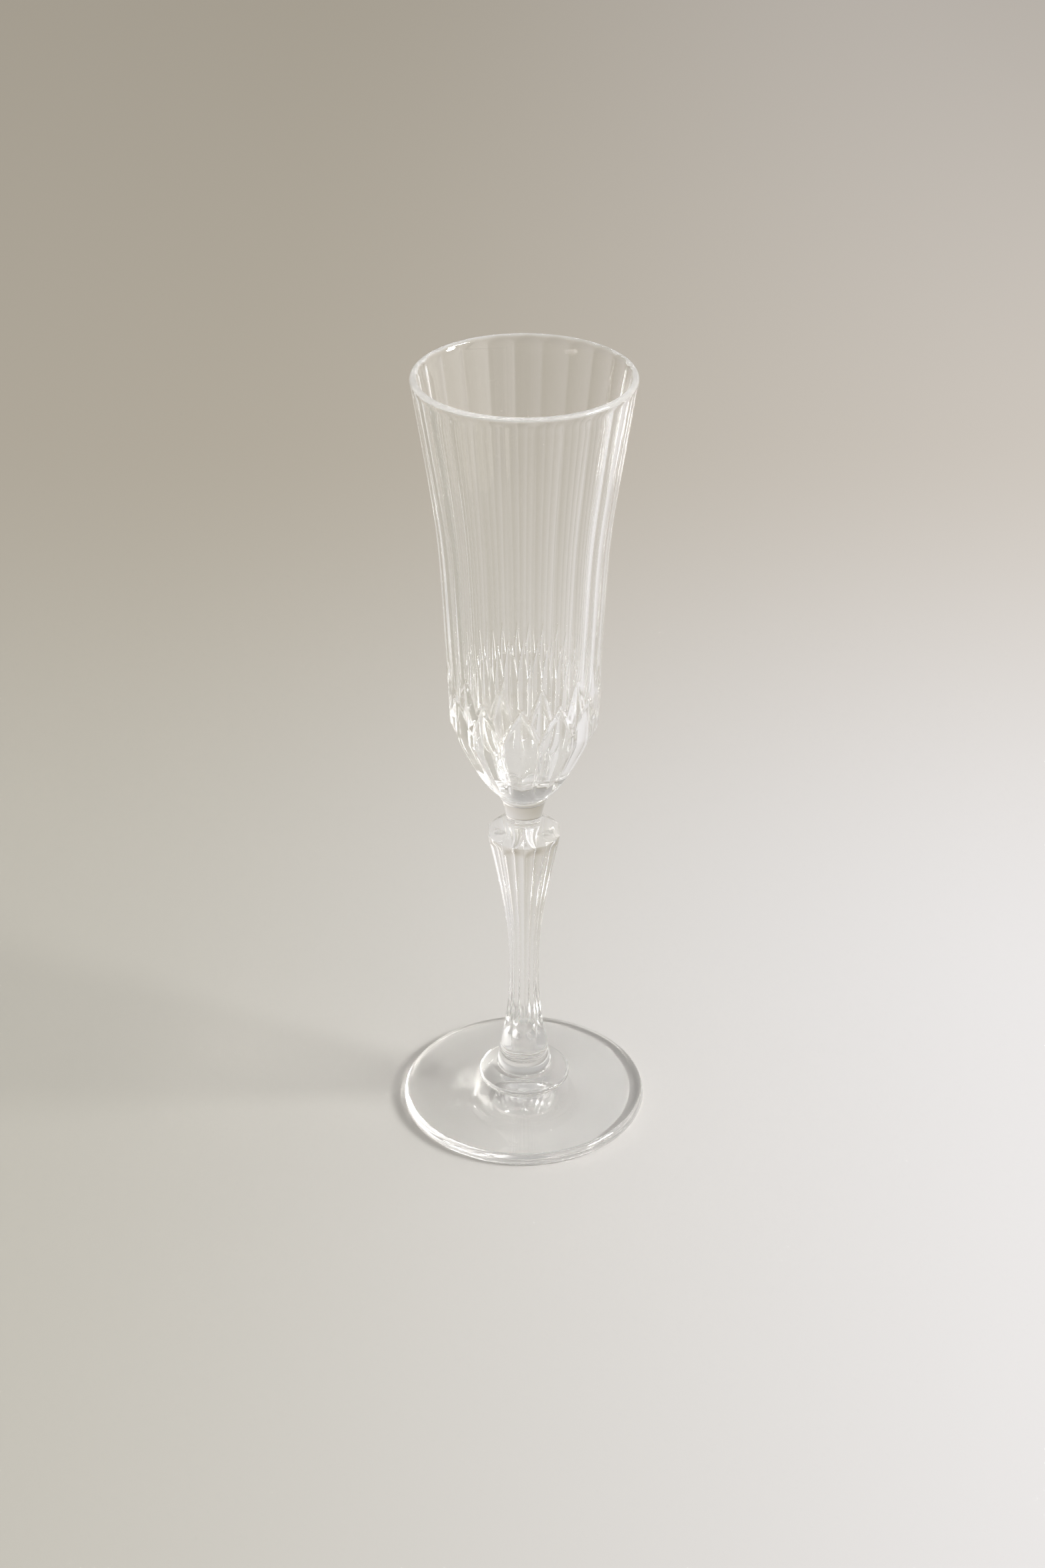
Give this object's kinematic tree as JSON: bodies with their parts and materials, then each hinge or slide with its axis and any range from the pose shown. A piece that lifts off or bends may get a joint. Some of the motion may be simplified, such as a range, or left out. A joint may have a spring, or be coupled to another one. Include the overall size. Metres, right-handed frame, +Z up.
{
  "type": "champagne flute",
  "caption": "Tall cut crystal champagne flute: fluted, flared bowl with pointed petal facets on its base, knopped panelled stem on a stepped collar, and a round flat foot.",
  "frame": {"origin": "centre of the foot's flat underside, on the surface the glass stands on", "axes": "+Z up along the stem and the bowl's axis, -Y towards the viewer, +X to the right"},
  "size_m": [0.0728, 0.0728, 0.235],
  "materials": {
    "crystal": "clear colourless crystal, fire-polished, with crisp cut edges"
  },
  "bodies": {
    "root": {"foot": "crystal", "stem_collar": "crystal", "stem": "crystal", "neck_merese": "crystal", "bowl": "crystal"}
  },
  "joints": []
}
